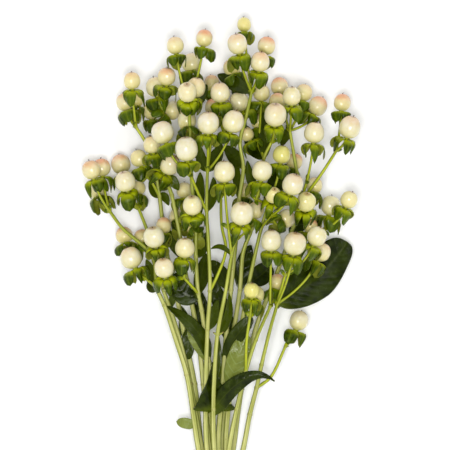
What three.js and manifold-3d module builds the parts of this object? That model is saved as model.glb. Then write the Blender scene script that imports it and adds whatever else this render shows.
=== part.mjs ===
// A bunch of thirteen cut hypericum stems, lying flat, in millimetres.
// The stems run along +Y from their cut ends to their berries, and +Z is up.
// A band holds them near the cut ends, and above it they fan out into a spray.
// Each stem is one solid: its main stalk, its side shoots, and on every shoot the
// reflexed sepals, the berry they carry, and its leaves.

import * as THREE from "three";
import { mergeVertices } from "three/addons/utils/BufferGeometryUtils.js";
import Module from "manifold-3d";

const wasm = await Module();
wasm.setup();

// ---------------------------------------------------------------- driving dimensions

const CUT_END_Y = -199.5; // the longest stems are cut here
const CUT_SCATTER = 7; // how much shorter the shortest stem is
const BAND_Y = -92; // middle of the band
const BAND_LENGTH = 9; // along the stems
const BAND_THICKNESS = 1;
const CLEARANCE = 0.3; // between the band and the stems inside it

const STEM_RADIUS = 1.95; // at the band, to the corners of the section
const STEM_TIP_RADIUS = 1.35; // at the last fork
const TWIG_RADIUS = 1.15;
const STALK_RADIUS = 0.8; // the short stalk under each berry

const SLOT_PITCH = 4.32; // between neighbouring stems in the band
const ROW_RISE = 3.9; // between one row of stems and the next
const LOWEST_ROW_Z = BAND_THICKNESS + CLEARANCE + STEM_RADIUS;

const BERRY_LENGTH_RATIO = 1.06; // a berry is a little longer than it is wide
const SEPAL_SPREAD = 6.6; // from the stalk to a sepal's tip, under a full-grown berry
const SEPAL_DROP = 8.2; // from the berry's base back to a sepal's tip
const FULL_BERRY_WIDTH = 11.5;
const LEAF_THICKNESS = 0.8;
const SHORT_STALK = 20; // a stalk shorter than this is drawn straight

const STEM_SIDES = 6;
const TWIG_SIDES = 5;

// The spray is moved sideways and along as a whole, so that the origin lies under
// the middle of the bunch's box.
const SHIFT = new THREE.Vector3(-0.69, 0.35, 0);

// ---------------------------------------------------------------- where each stem goes

// slot:   [place, row] in the band, place counted in pitches from its middle
// path:   points that the main stalk passes through above the band, up to its last fork
// heads:  berries on that last fork, each [x, y, z, width]
// twigs:  side shoots from path point number "from", each with heads of its own
// leaves: from path point "from", over the middle point to the tip, with the width
//         and the turn about the leaf's own midrib in degrees
const STEMS = {
  far_left: {
    slot: [-2, 2],
    path: [
      [-13, -62, 16], [-20, -17, 25], [-26, 2.5, 28], [-33.5, 25, 29],
      [-38, 35.5, 29], [-41, 54.5, 26], [-59, 71.5, 23], [-66.5, 81.5, 20],
    ],
    heads: [[-77.5, 106.5, 26, 11], [-71.5, 108, 14, 10.5], [-74.5, 95, 7, 11.5]],
    twigs: [
      { from: 4, path: [[-44.5, 41, 33]], heads: [[-53.5, 53.5, 34, 12.5], [-58, 67, 14, 10]] },
      { from: 5, path: [[-44, 58, 22]], heads: [[-47, 65.5, 12, 10]] },
    ],
    leaves: [
      { from: 0, middle: [-21.5, -46, 18], tip: [-27, -46, 16], width: 6.6, turn: 0 },
      { from: 4, middle: [-40.5, 36.5, 25], tip: [-42.5, 41, 18], width: 8.4, turn: 0 },
    ],
  },
  left: {
    slot: [-1.5, 1],
    path: [
      [-11, -62, 11], [-18, -23, 16], [-23.5, 1, 20], [-29.5, 21, 21],
      [-34, 34, 22], [-37, 51, 22], [-43.5, 69, 21], [-49, 83, 19],
    ],
    heads: [[-60, 110, 11, 11.5], [-57, 99.5, 34, 12], [-49.5, 95.5, 10, 8.5]],
    twigs: [
      { from: 4, path: [[-30.5, 35, 36]], heads: [[-33.5, 47.5, 48, 11.5]] },
      { from: 5, path: [[-36, 55, 32]], heads: [[-39.5, 66, 44, 12.5], [-34, 73, 24, 9.5]] },
    ],
    leaves: [],
  },
  mid_left: {
    slot: [-2, 0],
    path: [
      [-11.5, -62, 4], [-15.5, -23, 8], [-21, 4, 10], [-27, 34, 13], [-32.5, 58, 15],
      [-34.5, 72.5, 17], [-36.5, 90.5, 19], [-40.5, 112, 21], [-44.5, 122.5, 21], [-50.5, 132, 20],
    ],
    heads: [[-53, 160, 30, 10], [-57.5, 147.5, 14, 10.5], [-51, 148.5, 6, 8.5]],
    twigs: [
      { from: 6, path: [[-41.5, 100, 22]], heads: [[-49, 113.5, 20, 10]] },
      { from: 7, path: [[-40, 127, 14]], heads: [[-41.5, 142, 9, 10]] },
    ],
    leaves: [],
  },
  inner_left: {
    slot: [-0.5, 1],
    path: [
      [-6.5, -62, 12], [-10, -23, 16], [-14, 10.5, 18], [-20, 40, 23], [-24, 66, 26],
      [-29, 91, 26], [-32.5, 101.5, 25], [-33, 127, 22], [-34, 142, 21],
    ],
    heads: [[-39, 156.5, 22, 11.5], [-32, 162.5, 32, 10.5], [-28.5, 142.5, 18, 11]],
    twigs: [
      {
        from: 6,
        path: [[-36, 106.5, 27]],
        heads: [[-41, 121.5, 33, 10], [-30, 109.5, 32, 12], [-33.5, 105, 6, 9.5]],
      },
    ],
    leaves: [
      { from: 2, middle: [-18.5, 5.5, 17], tip: [-19, -8, 15], width: 9, turn: 0 },
    ],
  },
  left_tall: {
    slot: [-1, 0],
    path: [
      [-6.5, -62, 7], [-5.5, -32, 13], [-7, -9, 19], [-11, 22, 27], [-13, 32, 29],
      [-14.5, 54, 32], [-14.5, 71.5, 33], [-17, 100.5, 35], [-18, 130, 37], [-18.5, 145, 37],
    ],
    heads: [
      [-19.5, 152.5, 54, 11.5], [-14.5, 155.5, 42, 11.5], [-27, 181, 34, 10],
      [-9.5, 185.5, 30, 10], [-17, 171, 18, 11.5],
    ],
    twigs: [
      { from: 4, path: [[-21.5, 41.5, 38]], heads: [[-21, 59.5, 46, 11.5]] },
      { from: 6, path: [], heads: [[-16.5, 85, 50, 11.5], [-16, 71, 26, 8.5]] },
      { from: 6, path: [[-21.5, 75, 28]], heads: [[-21.5, 94, 20, 9.5], [-26, 78, 12, 10]] },
      { from: 7, path: [], heads: [[-19.5, 126, 24, 9]] },
      { from: 8, path: [], heads: [[-20, 136, 31, 11.5]] },
    ],
    leaves: [
      { from: 2, middle: [-16.5, 5.5, 28], tip: [-31, 23, 25], width: 12, turn: 5 },
      { from: 4, middle: [-20.5, 34, 31], tip: [-26, 44.5, 28], width: 10.8, turn: 0 },
    ],
  },
  centre: {
    slot: [-1, 2],
    path: [
      [-8, -62, 16], [-8.5, -23, 22], [-7.5, 10.5, 30], [-6, 33.5, 36],
      [-7, 64, 40], [-8, 81.5, 41], [-7.5, 105.5, 44],
    ],
    heads: [[-7, 134, 56, 13], [8, 135, 53, 13], [-4, 144, 28, 10]],
    twigs: [
      {
        from: 5,
        path: [[-12.5, 91, 44], [-17, 101.5, 51]],
        heads: [[-20, 118.5, 58, 14], [-34.5, 128.5, 50, 13]],
      },
    ],
    leaves: [
      { from: 2, middle: [-4.5, 17.5, 28], tip: [-1.5, 28, 24], width: 7.8, turn: 0 },
    ],
  },
  front: {
    slot: [0, 2],
    path: [
      [-3.5, -61.5, 17], [-4, -38, 21], [-3.5, -20, 26], [-1.5, 7.5, 32],
      [3.5, 34, 38], [7, 55, 42], [9.5, 64, 44],
    ],
    heads: [[13, 80, 60, 13.5], [21.5, 82, 36, 10]],
    twigs: [
      { from: 5, path: [[5, 71.5, 44]], heads: [[2.5, 105, 54, 12.5]] },
      { from: 6, path: [[13.5, 75, 36]], heads: [[14.5, 93.5, 20, 9.5]] },
    ],
    leaves: [
      { from: 1, middle: [-9, -21.5, 27.5], tip: [-17, -38, 26], width: 13.2, turn: 0 },
      { from: 1, middle: [15, -17.5, 34], tip: [33, -21, 30], width: 12, turn: 0 },
      { from: 3, middle: [4.5, 17, 27], tip: [5.5, 32, 27], width: 7.2, turn: 40 },
    ],
  },
  tall_centre: {
    slot: [0.5, 1],
    path: [
      [-1, -62, 12], [1.5, -26, 15], [3.5, 4, 19], [6.5, 34, 24], [9.5, 64, 28],
      [11.5, 88, 31], [14, 107.5, 32], [12, 123, 33], [15.5, 137.5, 34], [19, 153, 35],
    ],
    heads: [
      [24, 171, 44, 11.5], [10.5, 181.5, 46, 12], [28, 181, 30, 10.5],
      [7, 168, 21, 10], [14.5, 194, 22, 8.5],
    ],
    twigs: [
      {
        from: 7,
        path: [[3.5, 126, 33]],
        heads: [[0, 152.5, 45, 11.5], [-5, 159, 13, 9.5], [3.5, 144, 12, 9.5]],
      },
      { from: 8, path: [[15.5, 141, 25]], heads: [[11.5, 147.5, 26, 11.5], [12.5, 161.5, 9, 8.5]] },
    ],
    leaves: [
      { from: 9, middle: [9.5, 158, 28], tip: [2, 161.5, 20], width: 9.6, turn: 0 },
    ],
  },
  right_tall: {
    slot: [0, 0],
    path: [
      [1, -62, 6], [3.5, -26, 11], [7, 1, 15], [12, 34, 21], [14, 57, 25],
      [19, 71, 28], [23, 91, 31], [26.5, 113.5, 34], [31, 123, 36],
    ],
    heads: [[33, 139, 50, 13.5], [34.5, 147.5, 27, 10]],
    twigs: [
      {
        from: 7,
        path: [[23, 121, 25]],
        heads: [[23.5, 135.5, 14, 9], [16, 128, 26, 8.5], [25, 153, 18, 10]],
      },
    ],
    leaves: [
      { from: 7, middle: [20.5, 121, 22], tip: [15.5, 133.5, 18], width: 10.8, turn: 0 },
    ],
  },
  right: {
    slot: [1.5, 1],
    path: [
      [3.5, -62, 10], [6.5, -26, 17], [12.5, 10, 22], [17.5, 38.5, 27],
      [21, 55, 30], [25, 72, 32], [29, 85.5, 34],
    ],
    heads: [[37, 115.5, 40, 10.5], [32, 91, 49, 9.5], [33, 97.5, 22, 9], [45, 111.5, 16, 9.5]],
    twigs: [
      { from: 5, path: [[31, 79, 44]], heads: [[43.5, 97.5, 56, 12.5], [39.5, 77, 35, 11]] },
      { from: 6, path: [[21.5, 88.5, 47]], heads: [[25, 105.5, 51, 12]] },
    ],
    leaves: [
      { from: 1, middle: [9, -2, 27], tip: [18.5, 19, 27], width: 15.6, turn: -5 },
      { from: 3, middle: [23.5, 42, 22], tip: [29, 47, 16], width: 9.6, turn: 0 },
    ],
  },
  low_right: {
    slot: [1, 2],
    path: [
      [5.5, -62, 19], [10, -38, 23], [15.5, -15, 27], [21.5, 4, 30], [30, 24, 33],
    ],
    heads: [[30.5, 64, 50, 12.5], [34.5, 38.5, 21, 10]],
    twigs: [
      {
        from: 2,
        path: [[16, 4, 36], [18, 18.5, 38]],
        heads: [[19, 34, 44, 9], [21.5, 31.5, 31, 10]],
      },
    ],
    leaves: [],
  },
  lower_right: {
    slot: [2, 2],
    path: [
      [14, -62, 16], [18, -41, 19], [22, -25, 22], [25, -11, 24], [30, 10, 28], [34.5, 26, 32],
    ],
    heads: [[44.5, 62, 52, 13.5], [61, 57, 28, 11]],
    twigs: [
      { from: 5, path: [[39, 43, 36]], heads: [[58, 66.5, 46, 11.5], [54.5, 72.5, 27, 8.5]] },
      { from: 2, path: [[30.5, -18.5, 21], [39.5, 0, 18]], heads: [[47.5, 15.5, 14, 11.5]] },
    ],
    leaves: [
      { from: 5, middle: [59, 42, 22], tip: [77, 62.5, 12], width: 26.4, turn: 0 },
    ],
  },
  far_right: {
    slot: [1, 0],
    path: [
      [8, -62, 4], [13, -26, 8], [21.5, 10, 11], [33, 40.5, 14],
      [42.5, 67, 20], [48.5, 87, 23], [45, 112, 26], [42, 130, 28],
    ],
    heads: [[36, 157, 13, 10.5], [43, 150.5, 40, 11], [50.5, 153, 18, 10], [59, 145, 22, 11.5]],
    twigs: [
      { from: 4, path: [[62.5, 70, 23]], heads: [[66.5, 85, 22, 11.5], [77.5, 88.5, 34, 10]] },
      { from: 5, path: [[50, 81, 36]], heads: [[51.5, 87, 45, 11.5], [57, 97, 22, 9.5]] },
      { from: 5, path: [[52, 99, 34]], heads: [[56.5, 128.5, 42, 12]] },
      {
        from: 5,
        path: [[61, 104, 32], [70, 118, 30]],
        heads: [[78, 132, 36, 13], [73.5, 147, 24, 10]],
      },
    ],
    leaves: [
      { from: 4, middle: [48, 75, 14], tip: [52, 83.5, 10], width: 10.8, turn: 0 },
    ],
  },
};

// ---------------------------------------------------------------- small helpers

const UP = new THREE.Vector3(0, 0, 1);
const ALONG = new THREE.Vector3(0, 1, 0);

const point = ([x, y, z]) => new THREE.Vector3(x, y, z);

// A repeatable number between 0 and 1 for a berry and one of its sepals.
function vary(seed, index) {
  const wave = Math.sin(seed * 12.9898 + index * 78.233) * 43758.5453;
  return wave - Math.floor(wave);
}

// Nothing dips under the surface the bunch lies on: low points are pressed up to it.
function pressed(z) {
  return z < 1 ? Math.exp(z - 1) : z;
}

// The side and up directions of a section that faces along a tangent.
function sectionFrame(tangent) {
  const side = tangent.clone().cross(UP).normalize();
  const up = side.clone().cross(tangent).normalize();
  return { side, up };
}

// A closed geometry with its vertices shared, as a solid that can be joined.
function toSolid(geometry) {
  const bare = geometry.clone();
  bare.deleteAttribute("normal");
  bare.deleteAttribute("uv");
  const shared = mergeVertices(bare);
  const corners = shared.index.array;
  const kept = [];
  for (let i = 0; i < corners.length; i += 3) {
    const [a, b, c] = [corners[i], corners[i + 1], corners[i + 2]];
    if (a !== b && b !== c && c !== a) kept.push(a, b, c);
  }
  return new wasm.Manifold(new wasm.Mesh({
    numProp: 3,
    vertProperties: Float32Array.from(shared.attributes.position.array),
    triVerts: Uint32Array.from(kept),
  }));
}

// The joined solid of several geometries that are sunk into each other. A hollow that
// they seal between them comes apart as a body of its own, so the largest one is kept.
function joined(geometries) {
  const whole = geometries.map(toSolid).reduce((sum, solid) => sum.add(solid));
  const bodies = whole.decompose();
  const largest = bodies.reduce((best, body) => (body.volume() > best.volume() ? body : best));
  const mesh = largest.getMesh();
  const geometry = new THREE.BufferGeometry();
  geometry.setAttribute("position", new THREE.BufferAttribute(mesh.vertProperties, 3));
  geometry.setIndex(new THREE.BufferAttribute(mesh.triVerts, 1));
  geometry.computeVertexNormals();
  return geometry;
}

// ---------------------------------------------------------------- limbs, berries, leaves

// A tapering limb through points, with flat ends and a flat side underneath.
function limbThrough(points, startRadius, endRadius, sides, stepsPerPoint) {
  const curve = new THREE.CatmullRomCurve3(points);
  const steps = (points.length - 1) * stepsPerPoint;
  const geometry = new THREE.CylinderGeometry(1, 1, 1, sides, steps, false, Math.PI / sides);
  const position = geometry.attributes.position;
  for (let i = 0; i < position.count; i++) {
    const t = position.getY(i) + 0.5;
    const { side, up } = sectionFrame(curve.getTangent(t));
    const radius = THREE.MathUtils.lerp(startRadius, endRadius, t);
    const place = curve.getPoint(t)
      .addScaledVector(side, position.getX(i) * radius)
      .addScaledVector(up, position.getZ(i) * radius);
    position.setXYZ(i, place.x, place.y, place.z);
  }
  return geometry;
}

// The way a berry points: mostly away from its fork, and partly along the bunch.
function berryAxis(fork, centre) {
  const away = centre.clone().sub(fork).normalize();
  return away.multiplyScalar(0.6).addScaledVector(ALONG, 0.4).normalize();
}

// A berry on its five sepals and its stalk, as one body turned on a lathe. The sepals are
// folded back round the stalk: an umbrella whose rim runs out to a tip at every second
// column and back to a notch between them. The stalk and the foot of the berry have half
// as many columns, and the stalk's rings are bent along a curve from the fork to the berry.
function head(fork, [x, y, z, width]) {
  const centre = new THREE.Vector3(x, y, z);
  const axis = berryAxis(fork, centre);
  const radius = width / 2;
  const length = width * BERRY_LENGTH_RATIO;
  const base = centre.clone().addScaledVector(axis, -length / 2);
  const size = Math.min(1, 0.4 + (0.6 * width) / FULL_BERRY_WIDTH);
  const seed = Math.abs(x * 3 + y);

  const ceiling = -0.9 * size; // where the stalk meets the underside of the sepals
  const onBerry = (latitude) => new THREE.Vector2(
    radius * Math.cos(latitude),
    (length / 2) * (1 + Math.sin(latitude)),
  );
  const stalkRings = base.distanceTo(fork) < SHORT_STALK ? [0, 1] : [0, 0.5, 1];
  const profile = [
    new THREE.Vector2(0, 0),
    ...stalkRings.map(() => new THREE.Vector2(STALK_RADIUS, 0)),
    new THREE.Vector2(SEPAL_SPREAD * size, -SEPAL_DROP * size),
    new THREE.Vector2(4.6 * size, -1.4 * size),
    onBerry(-0.9),
    onBerry(0),
    onBerry(0.8),
    new THREE.Vector2(0, length),
  ];
  const rim = 1 + stalkRings.length;
  const shoulder = rim + 1;
  const foot = rim + 2;

  const top = base.clone().addScaledVector(axis, ceiling);
  const handle = top.clone().addScaledVector(axis, -0.45 * top.distanceTo(fork));
  const curve = new THREE.QuadraticBezierCurve3(fork, handle, top);
  const turned = new THREE.Quaternion().setFromUnitVectors(ALONG, axis);
  const across = new THREE.Vector3(1, 0, 0).applyQuaternion(turned);

  const columns = 10;
  const geometry = new THREE.LatheGeometry(profile, columns);
  const position = geometry.attributes.position;
  for (let i = 0; i < position.count; i++) {
    const ring = i % profile.length;
    const column = Math.floor(i / profile.length) % columns;
    const isTip = column % 2 === 0;
    const shared = ring < rim || ring === foot; // odd columns join the even one before them
    const angle = ((column - (shared && !isTip ? 1 : 0)) / columns) * 2 * Math.PI + seed;
    const place = new THREE.Vector3();
    if (ring < rim) {
      const t = ring === 0 ? 0 : stalkRings[ring - 1];
      const tangent = curve.getTangent(t);
      const side = across.clone().addScaledVector(tangent, -across.dot(tangent)).normalize();
      const front = side.clone().cross(tangent);
      place.copy(curve.getPoint(t))
        .addScaledVector(side, Math.sin(angle) * profile[ring].x)
        .addScaledVector(front, Math.cos(angle) * profile[ring].x);
    } else {
      let spread = 1;
      let drop = 1;
      if (ring === rim) spread = drop = isTip ? 0.8 + 0.3 * vary(seed, column) : 0.52;
      if (ring === shoulder && !isTip) spread = 0.86;
      place.set(Math.sin(angle), 0, Math.cos(angle)).multiplyScalar(profile[ring].x * spread);
      place.y = profile[ring].y * drop;
      place.applyQuaternion(turned).add(base);
    }
    position.setXYZ(i, place.x, place.y, pressed(place.z));
  }
  return geometry;
}

// A sheet and a copy of it underneath, both split alike, with a wall round their edge.
function closedBlade(sheet, underside, columns, rows) {
  const count = sheet.attributes.position.count;
  const corners = [];
  const faces = sheet.index.array;
  for (let i = 0; i < faces.length; i += 3) {
    const [a, b, c] = [faces[i], faces[i + 1], faces[i + 2]];
    corners.push(a, b, c, a + count, c + count, b + count);
  }
  const across = columns + 1;
  const edge = [];
  for (let c = 0; c < columns; c++) edge.push(c);
  for (let r = 0; r < rows; r++) edge.push(r * across + columns);
  for (let c = columns; c > 0; c--) edge.push(rows * across + c);
  for (let r = rows; r > 0; r--) edge.push(r * across);
  edge.forEach((a, i) => {
    const b = edge[(i + 1) % edge.length];
    corners.push(a, b, b + count, a, b + count, a + count);
  });
  const places = [...sheet.attributes.position.array, ...underside];
  const blade = new THREE.BufferGeometry();
  blade.setAttribute("position", new THREE.Float32BufferAttribute(places, 3));
  blade.setIndex(corners);
  return blade;
}

// A pointed, slightly folded leaf, from the stem over its middle point to its tip.
function leaf(base, { middle, tip, width, turn }) {
  const rows = width > 10 ? 4 : 3;
  const columns = 2;
  const edgeWidth = 0.8;
  const fold = 0.12; // how far the midrib lies below the edges, in parts of the width
  const handle = point(middle).multiplyScalar(2).addScaledVector(base, -0.5)
    .addScaledVector(point(tip), -0.5);
  const midrib = new THREE.QuadraticBezierCurve3(base, handle, point(tip));
  const sheet = new THREE.PlaneGeometry(1, 1, columns, rows);
  const position = sheet.attributes.position;
  const underside = [];
  for (let i = 0; i < position.count; i++) {
    const t = position.getY(i) + 0.5;
    const across = position.getX(i) * 2;
    const tangent = midrib.getTangent(t);
    const { side, up } = sectionFrame(tangent);
    side.applyAxisAngle(tangent, THREE.MathUtils.degToRad(turn));
    const half = edgeWidth + (width / 2 - edgeWidth) * Math.sin(Math.PI * t ** 0.8) ** 0.7;
    const place = midrib.getPoint(t)
      .addScaledVector(side, across * half)
      .addScaledVector(up, Math.abs(across) * half * fold);
    position.setXYZ(i, place.x, place.y, place.z);
    underside.push(...place.addScaledVector(up, -LEAF_THICKNESS));
  }
  return closedBlade(sheet, underside, columns, rows);
}

// ---------------------------------------------------------------- stems and band

function slotPlace([place, row]) {
  return new THREE.Vector3(place * SLOT_PITCH, BAND_Y, LOWEST_ROW_Z + row * ROW_RISE);
}

// The straight end below the band settles until the lowest row touches the surface.
function cutEnd([place, row]) {
  const flatRadius = STEM_RADIUS * Math.cos(Math.PI / STEM_SIDES);
  const shortening = CUT_SCATTER * vary(place + 3, row);
  return new THREE.Vector3(place * SLOT_PITCH, CUT_END_Y + shortening, flatRadius + row * ROW_RISE);
}

function stem({ slot, path, heads, twigs, leaves }) {
  const inBand = slotPlace(slot);
  const end = cutEnd(slot);
  const upper = path.map(point);
  const aboveBand = inBand.clone().lerp(end, -BAND_LENGTH / (BAND_Y - end.y));
  const route = [end, inBand, aboveBand, ...upper];
  const pieces = [limbThrough(route, STEM_RADIUS, STEM_TIP_RADIUS, STEM_SIDES, 1)];
  const last = upper[upper.length - 1];
  for (const place of heads) pieces.push(head(last, place));
  for (const twig of twigs) {
    const start = upper[twig.from];
    const along = [start, ...twig.path.map(point)];
    if (twig.path.length > 0) {
      pieces.push(limbThrough(along, TWIG_RADIUS, TWIG_RADIUS, TWIG_SIDES, 2));
    }
    const fork = along[along.length - 1];
    for (const place of twig.heads) pieces.push(head(fork, place));
  }
  for (const blade of leaves) pieces.push(leaf(upper[blade.from], blade));
  return joined(pieces);
}

// The outline of the bundle's hull at a distance from the outer stems' middles.
function bundleOutline(distance, ShapeClass) {
  const low = LOWEST_ROW_Z;
  const high = LOWEST_ROW_Z + 2 * ROW_RISE;
  const rightLean = Math.atan2(high - low, SLOT_PITCH);
  const outline = new ShapeClass();
  outline.absarc(-2 * SLOT_PITCH, low, distance, Math.PI, 1.5 * Math.PI, false);
  outline.absarc(SLOT_PITCH, low, distance, 1.5 * Math.PI, 1.5 * Math.PI + rightLean, false);
  outline.absarc(2 * SLOT_PITCH, high, distance, rightLean - Math.PI / 2, Math.PI / 2, false);
  outline.absarc(-2 * SLOT_PITCH, high, distance, Math.PI / 2, Math.PI, false);
  return outline;
}

function band() {
  const outline = bundleOutline(STEM_RADIUS + CLEARANCE + BAND_THICKNESS, THREE.Shape);
  outline.holes.push(bundleOutline(STEM_RADIUS + CLEARANCE, THREE.Path));
  const geometry = new THREE.ExtrudeGeometry(outline, {
    depth: BAND_LENGTH,
    bevelEnabled: false,
    curveSegments: 2,
  });
  geometry.rotateX(Math.PI / 2);
  geometry.translate(0, BAND_Y + BAND_LENGTH / 2, 0);
  return geometry;
}

// ---------------------------------------------------------------- the bunch

const stemMaterial = new THREE.MeshStandardMaterial({ color: 0xb4c06a, roughness: 0.55, metalness: 0 });
const bandMaterial = new THREE.MeshStandardMaterial({ color: 0xb9935a, roughness: 0.7, metalness: 0 });

const bunch = new THREE.Group();
for (const [name, plan] of Object.entries(STEMS)) {
  const mesh = new THREE.Mesh(stem(plan), stemMaterial);
  mesh.name = `stem_${name}`;
  bunch.add(mesh);
}

const bandMesh = new THREE.Mesh(band(), bandMaterial);
bandMesh.name = "band";
bunch.add(bandMesh);
bunch.position.copy(SHIFT);

export default bunch;
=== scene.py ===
# %% [markdown]
# # A bunch of hypericum berry stems
#
# Thirteen cut stems lie together on a table, held by a rubber band near their cut
# ends. Above the band they fan out, fork again and again, and every last stalk ends
# in a pale berry that sits on five green sepals folded back round the stalk.
#
# It could be sculpted by hand, but a plan with a few kinds of part is easier to change.
# Each kind gets one function that starts from a simple mesh and moves its points by a
# formula. Everything is drawn in millimetres and brought to metres at the end.

# %% Load the frame and measure it
import math

import bmesh
import bpy
from mathutils import Matrix, Quaternion, Vector


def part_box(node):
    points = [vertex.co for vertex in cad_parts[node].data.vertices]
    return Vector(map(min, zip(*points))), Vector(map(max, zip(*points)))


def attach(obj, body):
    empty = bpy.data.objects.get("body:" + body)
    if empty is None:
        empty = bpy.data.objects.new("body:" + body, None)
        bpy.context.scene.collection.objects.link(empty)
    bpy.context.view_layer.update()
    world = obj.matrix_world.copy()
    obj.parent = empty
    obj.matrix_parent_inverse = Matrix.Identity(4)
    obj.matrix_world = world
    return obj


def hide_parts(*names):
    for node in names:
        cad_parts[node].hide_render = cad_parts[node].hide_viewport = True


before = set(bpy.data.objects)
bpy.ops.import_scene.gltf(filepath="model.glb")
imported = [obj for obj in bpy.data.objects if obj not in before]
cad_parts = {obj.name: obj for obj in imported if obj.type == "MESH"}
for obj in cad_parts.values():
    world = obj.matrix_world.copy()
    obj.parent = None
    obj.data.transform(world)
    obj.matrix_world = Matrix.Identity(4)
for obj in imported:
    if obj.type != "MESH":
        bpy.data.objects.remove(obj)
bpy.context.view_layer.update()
MM = 0.001
print("nodes in the frame:", ", ".join(sorted(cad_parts)))

# %% [markdown]
# ## Sizes
#
# A stem is 3.4 mm thick at the band and tapers to 1.9 mm at its last fork. The frame's
# stems are six-sided, and a round stem has to fit inside their flat sides. The plan's
# zero is the middle of the bundle, and the band in the frame shows where that lies.

# %% The bunch's driving sizes, in millimetres
CUT_END_Y = -199.5
CUT_SCATTER = 7
BAND_Y = -92
BAND_LENGTH = 9
BAND_THICKNESS = 1
CLEARANCE = 0.3
FRAME_STEM_RADIUS = 1.95
STEM_RADIUS = FRAME_STEM_RADIUS * math.cos(math.pi / 6)
STEM_TIP_RADIUS = 0.95
TWIG_RADIUS = 0.92
STALK_RADIUS = 0.78
SLOT_PITCH = 4.32
ROW_RISE = 3.9
LOWEST_ROW_Z = BAND_THICKNESS + CLEARANCE + FRAME_STEM_RADIUS
BERRY_LENGTH_RATIO = 1.06
FULL_BERRY_WIDTH = 11.5
SEPAL_FOOT = 2.0
SEPAL_SPREAD = 9.2
SEPAL_DROP = 10.0
SEPAL_THICKNESS = 0.32
LEAF_THICKNESS = 0.4
VEIN_SPACING = 5.5

# How finely limbs are divided: sides round them, and millimetres from ring to ring.
STEM_SIDES, TWIG_SIDES, STALK_SIDES = 14, 11, 9
STEM_RING_GAP, RING_GAP = 2.5, 2.2

band_low, band_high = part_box("band")
band_middle = (band_low + band_high) / 2 / MM
SHIFT = Vector((band_middle.x, band_middle.y - BAND_Y, 0))
print("the plan's zero lies at", [round(part, 2) for part in SHIFT], "mm")

# %% [markdown]
# ## The plan of the stems
#
# Each stem is described by the points its main stalk passes through above the band,
# by the berries on its last fork, and by side shoots and leaves that leave the stalk
# at one of those points. The frame's solids follow the same points. The smallest leaves,
# half hidden between the stems, and one bare shoot on the centre stem are added here.
#
# A berry is given by its middle, its width and how ripe it looks: most are ivory with a
# faint warm tip, some blush strongly, and the youngest are still green.

# %% How ripe a berry looks
LIME = -0.9
CREAM = -0.2
IVORY = 0.29
PEACH = 0.56
PINK = 0.88
print("ripeness runs from", LIME, "to", PINK)

# %% The stems on the left, in millimetres
# slot: place and row in the band. heads: x, y, z, width, ripeness unless it is IVORY.
# twigs: path point it leaves from, its own points, its heads.
# leaves: path point, middle, tip, width, form unless it is plain, turn in degrees.
STEMS = {}
STEMS["far_left"] = dict(
    slot=(-2, 2),
    path=[(-13, -62, 16), (-20, -17, 25), (-26, 2.5, 28), (-33.5, 25, 29), (-38, 35.5, 29),
          (-41, 54.5, 26), (-59, 71.5, 23), (-66.5, 81.5, 20)],
    heads=[(-77.5, 106.5, 26, 11, PEACH), (-71.5, 108, 14, 10.5, PINK), (-74.5, 95, 7, 11.5)],
    twigs=[
        (4, [(-44.5, 41, 33)], [(-53.5, 53.5, 34, 12.5), (-58, 67, 14, 10, PINK)]),
        (5, [(-44, 58, 22)], [(-47, 65.5, 12, 10, PINK)])],
    leaves=[
        (0.33, (-20, -46.5, 20), (-26, -45.5, 18), 6.8, "turned"),
        (4, (-40.5, 36.5, 25), (-42.5, 41, 18), 8.4), (4, (-41, 44, 27), (-44.5, 52.5, 25), 6.5)])
STEMS["left"] = dict(
    slot=(-1.5, 1),
    path=[(-11, -62, 11), (-18, -23, 16), (-23.5, 1, 20), (-29.5, 21, 21), (-34, 34, 22), (-37, 51, 22),
          (-43.5, 69, 21), (-49, 83, 19)],
    heads=[(-60, 110, 11, 11.5, PINK), (-57, 99.5, 34, 12), (-49.5, 95.5, 10, 8.5)],
    twigs=[
        (4, [(-30.5, 35, 36)], [(-33.5, 47.5, 48, 11.5)]),
        (5, [(-36, 55, 32)], [(-39.5, 66, 44, 12.5, CREAM), (-34, 73, 24, 9.5, PINK)])],
    leaves=[])
STEMS["mid_left"] = dict(
    slot=(-2, 0),
    path=[(-11.5, -62, 4), (-15.5, -23, 8), (-21, 4, 10), (-27, 34, 13), (-32.5, 58, 15),
          (-34.5, 72.5, 17), (-36.5, 90.5, 19), (-40.5, 112, 21), (-44.5, 122.5, 21), (-50.5, 132, 20)],
    heads=[(-53, 160, 30, 10, PEACH), (-57.5, 147.5, 14, 10.5, PEACH), (-51, 148.5, 6, 8.5)],
    twigs=[
        (6, [(-41.5, 100, 22)], [(-49, 113.5, 20, 10)]),
        (7, [(-40, 127, 14)], [(-41.5, 142, 9, 10, PEACH)])],
    leaves=[
        (2, (-21, 12, 8), (-23.5, 24, 7), 8.5), (3, (-28.5, 29, 11), (-29.5, 23, 9), 5),
        (5, (-29, 63, 13), (-24, 53, 10), 7), (6, (-40, 94, 15), (-42, 102, 12), 6),
        (6, (-33.5, 90, 17), (-31, 85, 15), 5.5)])
STEMS["inner_left"] = dict(
    slot=(-0.5, 1),
    path=[(-6.5, -62, 12), (-10, -23, 16), (-14, 10.5, 18), (-20, 40, 23), (-24, 66, 26), (-29, 91, 26),
          (-32.5, 101.5, 25), (-33, 127, 22), (-34, 142, 21)],
    heads=[(-39, 156.5, 22, 11.5), (-32, 162.5, 32, 10.5, PEACH), (-28.5, 142.5, 18, 11, PEACH)],
    twigs=[
        (6, [(-36, 106.5, 27)], [(-41, 121.5, 33, 10), (-30, 109.5, 32, 12),
            (-33.5, 105, 6, 9.5, PEACH)])],
    leaves=[
        (2, (-18.5, 5.5, 17), (-19, -8, 15), 9, "blunt"), (2, (-12, 21, 13), (-14, 36, 11), 11),
        (6, (-28.5, 99.5, 27), (-25, 94, 25), 7)])
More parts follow.
